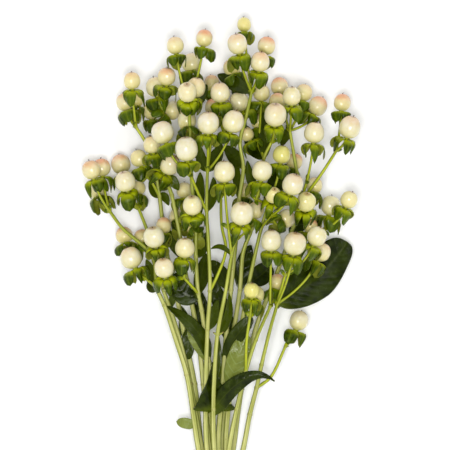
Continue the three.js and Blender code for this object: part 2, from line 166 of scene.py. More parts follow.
STEMS["left_tall"] = dict(
    slot=(-1, 0),
    path=[(-6.5, -62, 7), (-5.5, -32, 13), (-7, -9, 19), (-11, 22, 27), (-13, 32, 29), (-14.5, 54, 32),
          (-14.5, 71.5, 33), (-17, 100.5, 35), (-18, 130, 37), (-18.5, 145, 37)],
    heads=[(-19.5, 152.5, 54, 11.5), (-14.5, 155.5, 42, 11.5), (-27, 181, 34, 10, PEACH),
           (-9.5, 185.5, 30, 10, PINK), (-17, 171, 18, 11.5, PEACH)],
    twigs=[
        (4, [(-21.5, 41.5, 38)], [(-21, 59.5, 46, 11.5)]),
        (6, [], [(-16.5, 85, 50, 11.5, CREAM), (-16, 71, 26, 8.5, PEACH)]),
        (6, [(-21.5, 75, 28)], [(-21.5, 94, 20, 9.5), (-26, 78, 12, 10, PEACH)]),
        (7, [], [(-19.5, 126, 24, 9, PINK)]),
        (8, [], [(-20, 136, 31, 11.5)])],
    leaves=[
        (2, (-13.5, 9, 29), (-32, 24.5, 25), 9.5, "plain", 20),
        (2, (-13.5, 1, 24), (-19, 10, 24), 6.5, "turned"),
        (4, (-21.5, 32, 30), (-26, 44.5, 28), 14, "blunt"), (4, (-11, 43, 21), (-8.5, 56, 17), 9.5),
        (5, (-11, 60, 27), (-8, 69, 23), 8), (6, (-12.5, 91, 24), (-12, 105, 20), 7),
        (9, (-13, 150, 27), (-8, 158, 20), 9)])
print("stems on the left:", ", ".join(STEMS))

# %% The stems in the middle
STEMS["centre"] = dict(
    slot=(-1, 2),
    path=[(-8, -62, 16), (-8.5, -23, 22), (-7.5, 10.5, 30), (-6, 33.5, 36), (-7, 64, 40), (-8, 81.5, 41),
          (-7.5, 105.5, 44)],
    heads=[(-7, 134, 56, 13), (8, 135, 53, 13), (-4, 144, 28, 10, PINK)],
    twigs=[
        (5, [(-12.5, 91, 44), (-17, 101.5, 51)], [(-20, 118.5, 58, 14), (-34.5, 128.5, 50, 13)]),
        (3, [(-1.5, 43, 38), (3.5, 58, 36), (1, 73, 33), (0.5, 90, 30)], [])],
    leaves=[
        (2, (-4.5, 17.5, 28), (-1.5, 28, 24), 7.8), (6, (-3, 113, 38), (1, 122, 33), 9),
        (6, (-11, 112, 37), (-12, 121, 33), 7), (5, (-4.5, 91, 33), (-4, 102, 28), 6.5)])
STEMS["front"] = dict(
    slot=(0, 2),
    path=[(-3.5, -61.5, 17), (-4, -38, 21), (-3.5, -20, 26), (-1.5, 7.5, 32), (3.5, 34, 38), (7, 55, 42),
          (9.5, 64, 44)],
    heads=[(13, 80, 60, 13.5), (21.5, 82, 36, 10, PEACH)],
    twigs=[
        (5, [(5, 71.5, 44)], [(2.5, 105, 54, 12.5)]),
        (6, [(13.5, 75, 36)], [(14.5, 93.5, 20, 9.5)])],
    leaves=[
        (1, (-4.1, -23.9, 21.8), (-4.5, -9.5, 24.5), 29, "clasping", 26),
        (1, (15.7, -18.9, 29.5), (33, -20.8, 28), 12, "waisted", -16),
        (3, (4.5, 17, 27), (5.5, 32, 27), 7.2, "plain", 40), (5, (1, 60, 37), (-5.4, 58.8, 33), 3.4)],
    stubs=(3,))
STEMS["tall_centre"] = dict(
    slot=(0.5, 1),
    path=[(-1, -62, 12), (1.5, -26, 15), (3.5, 4, 19), (6.5, 34, 24), (9.5, 64, 28), (11.5, 88, 31),
          (14, 107.5, 32), (12, 123, 33), (15.5, 137.5, 34), (19, 153, 35)],
    heads=[(24, 171, 44, 11.5, PEACH), (10.5, 181.5, 46, 12, PEACH), (28, 181, 30, 10.5, PINK),
           (7, 168, 21, 10, PEACH), (14.5, 194, 22, 8.5, LIME / 2)],
    twigs=[
        (7, [(3.5, 126, 33)], [(0, 152.5, 45, 11.5), (-5, 159, 13, 9.5, PINK),
            (3.5, 144, 12, 9.5, PEACH)]),
        (8, [(15.5, 141, 25)], [(11.5, 147.5, 26, 11.5), (12.5, 161.5, 9, 8.5, PEACH)])],
    leaves=[
        (9, (8.5, 158.5, 28), (-1.5, 164, 18), 9.6), (3, (1, 43, 20), (-5, 52, 17), 10),
        (1.57, (9, 5, 25), (19.5, 17.5, 28), 10, "blunt", -5), (2.3, (0, 26, 16), (-4.5, 42, 14), 10),
        (1, (-1, -7, 17), (-1.5, 9, 17), 5), (5, (10, 102.5, 24), (9, 113.5, 20), 5.5),
        (6, (8.5, 114.5, 26), (2.5, 121, 22), 9)])
STEMS["right_tall"] = dict(
    slot=(0, 0),
    path=[(1, -62, 6), (3.5, -26, 11), (7, 1, 15), (12, 34, 21), (14, 57, 25), (19, 71, 28), (23, 91, 31),
          (26.5, 113.5, 34), (31, 123, 36)],
    heads=[(33, 139, 50, 13.5), (34.5, 147.5, 27, 10, PINK)],
    twigs=[
        (7, [(23, 121, 25)], [(23.5, 135.5, 14, 9), (16, 128, 26, 8.5, PEACH), (25, 153, 18, 10)])],
    leaves=[
        (7, (20.5, 121, 22), (15.5, 133.5, 18), 10.8), (7, (27, 127, 24), (26, 141, 19), 9),
        (3, (14.5, 49, 19), (18.5, 61, 17), 11), (6, (18.5, 101, 26), (16.5, 112, 22), 6),
        (2, (4, 14, 11), (1.5, 31, 10), 10)])
print("with the middle:", len(STEMS), "stems")

# %% The stems on the right
STEMS["right"] = dict(
    slot=(1.5, 1),
    path=[(3.5, -62, 10), (6.5, -26, 17), (12.5, 10, 22), (17.5, 38.5, 27), (21, 55, 30), (25, 72, 32),
          (29, 85.5, 34)],
    heads=[(37, 115.5, 40, 10.5, LIME), (32, 91, 49, 9.5, CREAM), (33, 97.5, 22, 9, PINK),
           (45, 111.5, 16, 9.5, PINK)],
    twigs=[
        (5, [(31, 79, 44)], [(43.5, 97.5, 56, 12.5), (39.5, 77, 35, 11, PEACH)]),
        (6, [(21.5, 88.5, 47)], [(25, 105.5, 51, 12)])],
    leaves=[
        (1, (10, -9, 24), (16.5, 7, 25), 13, "turned"),
        (3, (24, 42.5, 20.5), (31, 48.5, 12), 13, "blunt"), (6, (33, 97, 31), (40, 110, 25), 11)])
STEMS["low_right"] = dict(
    slot=(1, 2),
    path=[(5.5, -62, 19), (10, -38, 23), (15.5, -15, 27), (21.5, 4, 30), (30, 24, 33)],
    heads=[(30.5, 64, 50, 12.5), (34.5, 38.5, 21, 10, PINK)],
    twigs=[
        (2, [(16, 4, 36), (18, 18.5, 38)], [(19, 34, 44, 9, LIME), (21.5, 31.5, 31, 10, LIME / 2)])],
    leaves=[])
STEMS["lower_right"] = dict(
    slot=(2, 2),
    path=[(14, -62, 16), (18, -41, 19), (22, -25, 22), (25, -11, 24), (30, 10, 28), (34.5, 26, 32)],
    heads=[(44.5, 62, 52, 13.5), (61, 57, 28, 11)],
    twigs=[
        (5, [(39, 43, 36)], [(58, 66.5, 46, 11.5, CREAM), (54.5, 72.5, 27, 8.5, PINK)]),
        (2, [(30.5, -18.5, 21), (39.5, 0, 18)], [(47.5, 15.5, 14, 11.5)])],
    leaves=[
        (5, (59, 42.2, 22), (77, 63, 12), 26.6, "broad")])
STEMS["far_right"] = dict(
    slot=(1, 0),
    path=[(8, -62, 4), (13, -26, 8), (21.5, 10, 11), (33, 40.5, 14), (42.5, 67, 20), (48.5, 87, 23),
          (45, 112, 26), (42, 130, 28)],
    heads=[(36, 157, 13, 10.5, PINK), (43, 150.5, 40, 11), (50.5, 153, 18, 10, PEACH),
           (59, 145, 22, 11.5, PINK)],
    twigs=[
        (4, [(62.5, 70, 23)], [(66.5, 85, 22, 11.5, CREAM), (77.5, 88.5, 34, 10, CREAM)]),
        (5, [(50, 81, 36)], [(51.5, 87, 45, 11.5, LIME / 2), (57, 97, 22, 9.5, PEACH)]),
        (5, [(52, 99, 34)], [(56.5, 128.5, 42, 12)]),
        (5, [(61, 104, 32), (70, 118, 30)], [(78, 132, 36, 13, PEACH), (73.5, 147, 24, 10, PINK)])],
    leaves=[
        (4, (48, 75, 14), (52, 83.5, 10), 10.8), (7, (39.5, 127, 23), (37, 120.5, 18), 6.5)])
all_heads = [head for plan in STEMS.values()
             for heads in [plan["heads"]] + [twig[2] for twig in plan["twigs"]] for head in heads]
print(len(STEMS), "stems with", len(all_heads), "berries")

# %% [markdown]
# ## Camera, light and table
#
# A bunch laid on a table is best seen from straight above, and a long lens keeps the
# high berries from looking larger than the low ones. A small, strong light close to the
# camera gives every berry a crisp gleam, reaches the berries at the back and hides most
# shadows under the things that cast them. Three weaker lights soften what is left.

# %% The camera looks straight down
VIEW_MIDDLE = Vector((2.31, 73.55, 35)) * MM
VIEW_WIDTH = 270 * MM
CAMERA_HEIGHT = 3.0
scene = bpy.context.scene
camera = bpy.data.objects.new("camera", bpy.data.cameras.new("camera"))
camera.location = VIEW_MIDDLE + Vector((0, 0, CAMERA_HEIGHT))
camera.data.lens = camera.data.sensor_width * CAMERA_HEIGHT / VIEW_WIDTH
camera.data.clip_end = 20
scene.collection.objects.link(camera)
scene.camera = camera
print("lens of", round(camera.data.lens), "mm at", CAMERA_HEIGHT, "m")

# %% A small strong light by the camera and three weaker ones
def soft_light(name, place, size, power):
    """A square light that faces the middle of the bunch."""
    lamp = bpy.data.objects.new(name, bpy.data.lights.new(name, "AREA"))
    lamp.data.size = size
    lamp.data.energy = power
    lamp.location = VIEW_MIDDLE + Vector(place)
    lamp.rotation_mode = "QUATERNION"
    lamp.rotation_quaternion = Vector(place).to_track_quat("Z", "Y")
    lamp.visible_camera = False
    scene.collection.objects.link(lamp)


soft_light("key_light", (-0.03, -0.15, 1.65), 0.46, 20)
soft_light("left_fill", (-1.15, 0.6, 1.2), 1.3, 2.6)
soft_light("right_fill", (0.85, 0.95, 1.5), 0.12, 2.8)
soft_light("low_fill", (0.2, -1.35, 1.2), 1.3, 3)
scene.view_settings.view_transform = "Standard"

# %% [markdown]
# ## Helpers for materials
#
# Colours are written as a painter would read them off a screen, from 0 to 255, and
# turned into the linear light that shaders mix. The helpers add nodes to the tree that
# is open: each material or group that is started becomes the new `tree`. Plant skin is
# painted in layers, one colour over another, each where its mask lets it show.

# %% Colours and nodes
def paint(colour):
    """A screen colour as linear light; the output of a node stays as it is."""
    if isinstance(colour, bpy.types.NodeSocket):
        return colour
    shares = [part / 255 for part in colour]
    return (*(share / 12.92 if share <= 0.04045 else ((share + 0.055) / 1.055) ** 2.4
              for share in shares), 1)


def add_node(kind, inputs=None, **settings):
    """Adds a node; an input is a number, a colour or another node's output."""
    node = tree.nodes.new(kind)
    for key, value in settings.items():
        setattr(node, key, value)
    for key, value in (inputs or {}).items():
        if isinstance(value, bpy.types.NodeSocket):
            tree.links.new(value, node.inputs[key])
        else:
            node.inputs[key].default_value = value
    return node


def blend(share, first, second):
    """The colour that lies at share between the first and the second."""
    inputs = {0: share, 6: paint(first), 7: paint(second)}
    return add_node("ShaderNodeMix", inputs, data_type="RGBA").outputs[2]


def work_out(operation, *values):
    """One step of arithmetic on values that change over the surface."""
    return add_node("ShaderNodeMath", dict(enumerate(values)), operation=operation).outputs[0]


def layered(share, first, second, *layers):
    """Blends two colours and lays others over them, as (mask, greatest share, colour)."""
    colour = blend(share, first, second)
    for mask, most, added in layers:
        share = mask if most == 1 else work_out("MULTIPLY", mask, most)
        colour = blend(share, colour, added)
    return colour


def ramp(value, start, end):
    """0 where value is below start, 1 above end, and a smooth rise between them."""
    inputs = {"Value": value, "From Min": start, "From Max": end}
    return add_node("ShaderNodeMapRange", inputs, interpolation_type="SMOOTHSTEP").outputs["Result"]


def attribute(name, output="Fac"):
    """A value stored on the mesh's own points."""
    return add_node("ShaderNodeAttribute", attribute_name=name).outputs[output]


def noise(place, scale, detail=2.0):
    """Cloudy noise from 0 to 1."""
    inputs = {"Vector": place, "Scale": scale, "Detail": detail}
    return add_node("ShaderNodeTexNoise", inputs).outputs["Fac"]


print("mid grey as linear light:", [round(part, 3) for part in paint((128, 128, 128))])

# %% [markdown]
# ## The room
#
# A bright room fills the shadows. Its ceiling is darker straight above the table, so
# leaves that face up keep their deep green instead of mirroring white.

# %% A bright room with a darker ceiling
room = bpy.data.worlds.new("room")
room.use_nodes = True
tree = room.node_tree
background = tree.nodes["Background"].inputs
background["Color"].default_value = (1, 1, 1, 1)
direction = add_node("ShaderNodeTexCoord").outputs["Generated"]
height = add_node("ShaderNodeSeparateXYZ", {"Vector": direction}).outputs["Z"]
brightness = work_out("MULTIPLY_ADD", ramp(height, 0.95, 0.7), 0.7, 0.12)
tree.links.new(brightness, background["Strength"])
scene.world = room
print("the room is", scene.world.name)

# %% [markdown]
# ## Shader groups shared by several finishes
#
# Plant skin is never one even colour. Patches come from how it grew in light and shade,
# and specks are glands and pores. Four finishes want both, so they are made once, as a
# group with its own inputs. A second group draws fine lines along a stem, and a third
# draws the veins of a blade from two values that its mesh carries.

# %% A group for patches and specks
def new_group(name, inputs, outputs):
    """An empty shader group; an input whose value is None is a place."""
    group = bpy.data.node_groups.new(name, "ShaderNodeTree")
    for label, value in inputs.items():
        kind = "NodeSocketVector" if value is None else "NodeSocketFloat"
        socket = group.interface.new_socket(label, in_out="INPUT", socket_type=kind)
        if value is not None:
            socket.default_value = value
    for label in outputs:
        group.interface.new_socket(label, in_out="OUTPUT", socket_type="NodeSocketFloat")
    print(f"shader group {name} gives:", ", ".join(outputs))
    return group, group.nodes.new("NodeGroupInput").outputs, group.nodes.new("NodeGroupOutput").inputs


skin_group, given, wanted = new_group(
    "living skin", {"Place": None, "Patch Scale": 200.0, "Speck Scale": 1500.0},
    ("Patches", "Specks", "Grain"))
tree = skin_group
patches = noise(given["Place"], given["Patch Scale"], 3.0)
tree.links.new(ramp(patches, 0.3, 0.7), wanted["Patches"])
cells = add_node("ShaderNodeTexVoronoi", {"Vector": given["Place"], "Scale": given["Speck Scale"]})
tree.links.new(ramp(cells.outputs["Distance"], 0.34, 0.12), wanted["Specks"])
grain_scale = work_out("MULTIPLY", given["Speck Scale"], 1.7)
tree.links.new(noise(given["Place"], grain_scale), wanted["Grain"])

# %% A group for lines along a stem
fibre_group, given, wanted = new_group(
    "fibres along a stem", {"Place": None, "Lines": 1600.0, "Stretch": 0.04}, ("Lines", "Grooves"))
tree = fibre_group
parts = add_node("ShaderNodeSeparateXYZ", {"Vector": given["Place"]}).outputs
slow = work_out("MULTIPLY", parts["Z"], given["Stretch"])
pulled = add_node("ShaderNodeCombineXYZ", {"X": parts["X"], "Y": parts["Y"], "Z": slow}).outputs[0]
lines = noise(pulled, given["Lines"], 3.0)
tree.links.new(ramp(lines, 0.35, 0.65), wanted["Lines"])
finer = work_out("MULTIPLY", given["Lines"], 2.3)
tree.links.new(noise(pulled, finer), wanted["Grooves"])

# %% A group for the veins of a blade
vein_group, given, wanted = new_group(
    "veins of a blade", {"Across": 0.0, "Veins": 0.0, "Midrib Width": 0.08, "Vein Width": 0.12},
    ("Midrib", "Veins"))
tree = vein_group
aside = work_out("ABSOLUTE", given["Across"])
tree.links.new(ramp(aside, given["Midrib Width"], 0.0), wanted["Midrib"])
swing = work_out("PINGPONG", given["Veins"], 0.5)
tree.links.new(ramp(swing, given["Vein Width"], 0.0), wanted["Veins"])

# %% [markdown]
# ## Finishes
#
# Every finish ends in one Principled shader. What changes over the surface is linked
# in, and what is the same everywhere is set on the shader itself.

# %% Starting and ending a finish
def new_finish(name, **shader_values):
    """A material whose shader holds the values that are the same all over it."""
    material = bpy.data.materials.new(name)
    material.use_nodes = True
    shader = material.node_tree.nodes["Principled BSDF"].inputs
    for label, value in shader_values.items():
        shader[label.replace("_", " ")].default_value = value
    print("finish:", name)
    return material, material.node_tree, shader


def object_place():
    """The point's place in the object, in metres."""
    return add_node("ShaderNodeTexCoord").outputs["Object"]


def living_skin(patch_scale, speck_scale):
    """Patches, specks and grain at the object's own places."""
    inputs = {"Place": object_place(), "Patch Scale": patch_scale, "Speck Scale": speck_scale}
    return add_node("ShaderNodeGroup", inputs, node_tree=skin_group).outputs


def blade_veins(midrib_width, vein_width):
    """The midrib and side veins of a sepal or leaf."""
    inputs = {"Across": attribute("across"), "Veins": attribute("veins"),
              "Midrib Width": midrib_width, "Vein Width": vein_width}
    return add_node("ShaderNodeGroup", inputs, node_tree=vein_group).outputs


def end_finish(shader, colour, roughness, relief, depth):
    """Links a colour, a roughness (value, gain, least) and a relief with its depth in metres."""
    tree.links.new(colour, shader["Base Color"])
    tree.links.new(work_out("MULTIPLY_ADD", *roughness), shader["Roughness"])
    bump = add_node("ShaderNodeBump", {"Height": relief, "Distance": depth})
    tree.links.new(bump.outputs["Normal"], shader["Normal"])


# %% Withered styles at a berry's tip, and the pale wood where a stem is cut
style_finish, tree, shader = new_finish("withered_style", Roughness=0.75)
mottled = blend(noise(object_place(), 2500.0), (52, 34, 24), (104, 74, 48))
tree.links.new(mottled, shader["Base Color"])
cut_wood, tree, shader = new_finish("cut_wood", Roughness=0.8)
mottled = blend(noise(object_place(), 1800.0, 3.0), (196, 200, 140), (226, 222, 184))
tree.links.new(mottled, shader["Base Color"])

# %% Berry skin: ivory wax, greener at the foot, blushing at the tip
berry_skin, tree, shader = new_finish(
    "berry_skin", Subsurface_Weight=0.2, Subsurface_Scale=0.002, Subsurface_Radius=(1.0, 0.75, 0.4),
    Coat_Weight=0.55, Coat_Roughness=0.16, Specular_IOR_Level=0.35)
skin = living_skin(260.0, 1900.0)
rise = attribute("rise")
ripeness = attribute("ripeness")
reached = work_out("MULTIPLY_ADD", ripeness, 0.18, rise)
tip = work_out("MULTIPLY_ADD", ramp(reached, 0.62, 1.07), 0.92, 0.08)
cloudy = work_out("MULTIPLY_ADD", skin["Patches"], 0.35, 0.75)
ripe = ramp(ripeness, 0.0, 1.0)
blush = work_out("MULTIPLY", work_out("MULTIPLY", tip, cloudy), ripe)
colour = layered(
    skin["Patches"], (212, 208, 186), (207, 201, 160),
    (attribute("tone"), 1, (218, 205, 128)),
    (ramp(rise, 0.55, 0.02), 0.6, (202, 194, 112)),
    (ramp(ripeness, 0.0, -1.0), 1, (206, 199, 109)),
    (blush, 1, (209, 142, 100)),
    (ramp(rise, 0.94, 0.99), 0.6, (146, 98, 54)),
    (skin["Specks"], 0.3, (232, 226, 206)))
end_finish(shader, colour, (skin["Patches"], 0.1, 0.32), skin["Grain"], 0.00002)

# %% Sepals: bright where they leave the stalk, dark and glossy outside, pale behind
sepal_blade, tree, shader = new_finish("sepal_blade", Specular_IOR_Level=0.11)
skin = living_skin(420.0, 2600.0)
rib = blade_veins(0.16, 0.2)
colour = layered(
    skin["Patches"], (26, 38, 0), (50, 69, 1),
    (attribute("tone"), 1, (68, 88, 2)),
    (ramp(attribute("along"), 0.55, 0.08), 1, (158, 168, 8)),
    (rib["Midrib"], 0.3, (126, 140, 22)),
    (rib["Veins"], 0.2, (106, 122, 20)),
    (attribute("underside"), 1, (126, 132, 42)))
relief = work_out("MULTIPLY_ADD", rib["Veins"], -0.5, skin["Grain"])
end_finish(shader, colour, (skin["Patches"], 0.14, 0.2), relief, 0.00002)

# %% Leaves: dark and glossy above, pale grey-green below, with looping side veins
leaf_blade, tree, shader = new_finish("leaf_blade", Specular_IOR_Level=0.14)
skin = living_skin(180.0, 2200.0)
rib = blade_veins(0.1, 0.12)
below = layered(skin["Patches"], (102, 112, 44), (118, 128, 58), (rib["Veins"], 0.5, (132, 148, 86)))
colour = layered(
    skin["Patches"], (19, 28, 0), (42, 54, 1),
    (attribute("tone"), 1, (60, 73, 2)),
    (ramp(attribute("along"), 0.25, 0.0), 1, (68, 80, 5)),
    (rib["Midrib"], 0.25, (72, 83, 14)),
    (rib["Veins"], 0.22, (50, 60, 10)),
    (attribute("underside"), 1, below))
relief = work_out("MULTIPLY_ADD", rib["Veins"], -0.8, skin["Grain"])
end_finish(shader, colour, (skin["Patches"], 0.22, 0.08), relief, 0.00005)

# %% Stalk skin: pale lime with fine lines, more olive towards the tips, with painted shade down its sides
stalk_skin, tree, shader = new_finish(
    "stalk_skin", Specular_IOR_Level=0.25, Coat_Weight=0.08, Coat_Roughness=0.3)
skin = living_skin(160.0, 1400.0)
inputs = {"Place": attribute("grain", "Vector"), "Lines": 800.0, "Stretch": 0.03}
fibre = add_node("ShaderNodeGroup", inputs, node_tree=fibre_group).outputs
upper = blend(fibre["Lines"], (120, 131, 3), (170, 178, 28))
worn = ramp(noise(object_place(), 420.0, 4.0), 0.66, 0.76)
colour = layered(
    fibre["Lines"], (134, 142, 42), (192, 192, 122),
    (ramp(fibre["Grooves"], 0.52, 0.66), 0.4, (180, 164, 110)),
    (ramp(attribute("age"), 0.45, 1.0), 1, upper),
    # Painted shade: dark olive down the stalk's left and right flanks as seen from above, where the
    # section turns away from the light.
    (ramp(attribute("flank_shade"), 0.5, 1.0), 1, (98, 106, 12)),
    (skin["Patches"], 0.25, (138, 148, 50)),
    (worn, 0.6, (128, 92, 46)),
    (attribute("scar"), 1, (112, 84, 44)))
end_finish(shader, colour, (fibre["Grooves"], 0.2, 0.32), fibre["Grooves"], 0.00006)

# %% Natural rubber of the band
rubber, tree, shader = new_finish("natural_rubber", Specular_IOR_Level=0.35)
here = object_place()
colour = layered(
    noise(here, 140.0, 3.0), (186, 148, 92), (206, 172, 116),
    (ramp(noise(here, 900.0, 4.0), 0.55, 0.75), 1, (222, 196, 148)))
end_finish(shader, colour, (noise(here, 600.0), 0.2, 0.5), noise(here, 2400.0), 0.00008)

# %% [markdown]
# ## The table
#
# A pale, matt table top that reaches far enough for the camera to see nothing else.

# %% Table top
def new_object(name, shape, finishes):
    """Turns a mesh that is being built into an object of the scene."""
    data = bpy.data.meshes.new(name)
    shape.to_mesh(data)
    shape.free()
    for finish in finishes:
        data.materials.append(finish)
    made = bpy.data.objects.new(name, data)
    scene.collection.objects.link(made)
    return made


table_shape = bmesh.new()
bmesh.ops.create_grid(table_shape, x_segments=1, y_segments=1, size=8)
table_top = new_finish("table_top", Base_Color=(0.92, 0.92, 0.92, 1), Roughness=0.9,
                       Specular_IOR_Level=0.2)[0]
table = new_object("table", table_shape, [table_top])
print("table top of", [round(side, 1) for side in table.dimensions[:2]], "m")

# %% [markdown]
# ## Smooth lines and their sections
#
# A stalk follows a centripetal Catmull-Rom curve through the plan's points, as in the
# frame, so the round stalks lie inside the frame's six-sided ones. It needs no handles
# and never loops between close points. A berry's own stalk, a sepal and a midrib are
# simpler, and each follows a curve with one handle.

# %% Repeatable variety, and points on smooth lines
UP = Vector((0, 0, 1))
ALONG = Vector((0, 1, 0))


def clamp(value):
    """The value, kept from 0 to 1."""
    return max(0.0, min(1.0, value))


def between(low, high, share):
    """The number that lies at share of the way from low to high."""
    return low + (high - low) * share


def vary(seed, index, low=0, high=1):
    """A repeatable number between low and high."""
    wave = math.sin(seed * 12.9898 + index * 78.233) * 43758.5453
    return between(low, high, wave - math.floor(wave))


def curve_point(points, span, share):
    """The place at share of the way along one span of a centripetal Catmull-Rom curve."""
    p1, p2 = points[span], points[span + 1]
    p0 = points[span - 1] if span > 0 else 2 * p1 - p2
    p3 = points[span + 2] if span + 2 < len(points) else 2 * p2 - p1
    before, gap, after = ((end - start).length ** 0.5 for start, end in ((p0, p1), (p1, p2), (p2, p3)))
    pull_1 = ((p1 - p0) / before - (p2 - p0) / (before + gap) + (p2 - p1) / gap) * gap
    pull_2 = ((p2 - p1) / gap - (p3 - p1) / (gap + after) + (p3 - p2) / after) * gap
    squared, cubed = share ** 2, share ** 3
    return (p1 * (2 * cubed - 3 * squared + 1) + p2 * (3 * squared - 2 * cubed)
            + pull_1 * (cubed - 2 * squared + share) + pull_2 * (cubed - squared))


def smooth_line(points, gap):
    """Places about gap apart on the smooth line through points, and each one's share of the way."""
    places, shares = [], []
    for span in range(len(points) - 1):
        steps = max(2, math.ceil((points[span + 1] - points[span]).length / gap))
        for step in range(steps):
            places.append(curve_point(points, span, step / steps))
            shares.append((span + step / steps) / (len(points) - 1))
    return places + [points[-1]], shares + [1.0]


def handle_curve(start, handle, end, t):
    """The place and the direction at t on a curve with one handle."""
    place = start * (1 - t) ** 2 + handle * (2 * t * (1 - t)) + end * t ** 2
    return place, ((handle - start) * (1 - t) + (end - handle) * t).normalized()


def section_axes(tangent):
    """The side and up directions of a section that faces along a tangent."""
    side = tangent.cross(UP)
    if side.length < 0.05:
        side = tangent.cross(ALONG)
    side.normalize()
    return side, side.cross(tangent).normalized()


print("a variety of numbers:", [round(vary(1, index), 2) for index in range(4)])

# %% [markdown]
# ## Keeping pieces
#
# Every berry, sepal and limb is made as a small mesh and added to the larger mesh of its
# piece. Each carries the same few values on its points, which the finishes read. Nothing
# dips into the table: low points are pressed up to it.

# %% Small meshes, and the pieces they are gathered in
STORED = ("rise", "ripeness", "along", "across", "veins", "underside", "tone", "age", "scar", "flank_shade")


def new_shape():
    """An empty mesh with room for the values that the finishes read."""
    shape = bmesh.new()
    for name in STORED:
        shape.verts.layers.float.new(name)
    shape.verts.layers.float_vector.new("grain")
    return shape


def store(shape, verts, **values):
    """Writes the same values on all these points."""
    for name, value in values.items():
        layer = shape.verts.layers.float[name]
        for vert in verts:
            vert[layer] = value


def gather(piece, shape, finish=0):
    """Adds a small mesh to a piece, smooth and in one of its finishes."""
    for face in shape.faces:
        face.smooth = True
        face.material_index = max(face.material_index, finish)
    small = bpy.data.meshes.new("small")
    shape.to_mesh(small)
    piece.from_mesh(small)
    bpy.data.meshes.remove(small)
    shape.free()


def pressed(height):
    """Heights within 1 mm of the table or under it are squeezed up to just above it."""
    return math.exp(height - 1) if height < 1 else height


def finish_piece(name, shape, finishes, node):
    """Turns a gathered mesh into an object in metres that stands for a node of the frame."""
    for vert in shape.verts:
        vert.co.z = pressed(vert.co.z)
    bmesh.ops.transform(shape, matrix=Matrix.Scale(MM, 4) @ Matrix.Translation(SHIFT), verts=shape.verts)
    made = new_object(name, shape, finishes)
    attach(made, "root")
    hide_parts(node)
    triangles = sum(len(face.vertices) - 2 for face in made.data.polygons)
    print(f"{name}: {triangles} triangles")
    return triangles


# %% [markdown]
# ## Limbs
#
# A limb starts as an upright cylinder whose long edges are cut into rings. Each ring is
# moved to its place on the limb's line and turned to face along it. A point keeps its
# angle in the ring, so fine lines can be painted along the limb without a seam.

# %% A cylinder bent along a line
def upright_tube(sides, spans, cap_ends):
    """A cylinder of radius 1 and height 1, cut into spans, and each point with its ring."""
    tube = new_shape()
    bmesh.ops.create_cone(tube, cap_ends=cap_ends, segments=sides, radius1=1, radius2=1, depth=1)
    long_edges = [edge for edge in tube.edges if abs(edge.verts[0].co.z - edge.verts[1].co.z) > 0.5]
    bmesh.ops.subdivide_edges(tube, edges=long_edges, cuts=spans - 1)
    return tube, [(vert, round((vert.co.z + 0.5) * spans)) for vert in tube.verts]


def bent_limb(line, radii, sides, ages):
    """A round limb through the places of a line, with a radius and an age at each."""
    last = len(line) - 1
    limb, ringed = upright_tube(sides, last, True)
    layers = limb.verts.layers
    travelled = [0.0]
    for first, second in zip(line, line[1:]):
        travelled.append(travelled[-1] + (second - first).length)
    axes = [section_axes((line[min(ring + 1, last)] - line[max(ring - 1, 0)]).normalized())
            for ring in range(len(line))]
    for vert, ring in ringed:
        side, up = axes[ring]
        x, y = vert.co.x * radii[ring], vert.co.y * radii[ring]
        vert[layers.float_vector["grain"]] = (x * MM, y * MM, travelled[ring] * MM)
        vert[layers.float["age"]] = ages[ring]
        # The left and right sides of the section, as seen from above, are marked here for the painted
        # shade that the stalk finish lays on them.
        vert[layers.float["flank_shade"]] = abs(vert.co.x)
        vert.co = line[ring] + side * x + up * y
    for face in limb.faces:
        if len(face.verts) == sides:
            for edge in face.edges:
                edge.smooth = False
    return limb


def collar(place, tangent, radius, age):
    """The raised, slightly brown ring where a pair of leaves grew."""
    rings = ((-1.3, -0.1), (-0.7, 0.06), (-0.2, 0.2), (0.2, 0.18), (0.8, 0.06), (1.6, -0.1))
    ring = bent_limb([place + tangent * height for height, swell in rings],
                     [radius + swell for height, swell in rings], 12, [age] * len(rings))
    scar = ring.verts.layers.float["scar"]
    for vert in ring.verts:
        height = (vert.co - place).dot(tangent)
        vert[scar] = 0.3 * math.exp(-((height - 0.1) / 0.3) ** 2)
    return ring


def stub(place, tangent, outward, radius, age, length):
    """What is left of a shoot's foot: a short cone with a brown end."""
    lean = (outward + tangent * 0.9).normalized()
    foot = place + outward * radius * 1.1
    line = [place + outward * radius * 0.6, foot + lean * length * 0.5, foot + lean * length]
    peg = bent_limb(line, [0.85, 0.6, 0.42], 7, [age] * 3)
    scar = peg.verts.layers.float["scar"]
    for vert in peg.verts:
        vert[scar] = clamp((vert.co - line[1]).dot(lean) / (length * 0.5))
    return peg


print("limbs can be bent")

# %% [markdown]
# ## Berries
#
# A berry starts as a sphere. Its three seed chambers show as faint swellings, it is
# fuller below its middle, and three withered styles stand in a dimple at its tip. All of
# that is a formula on each point's height and angle, so every berry can differ a little.

# %% A berry and its withered styles
CHAMBERS = 3


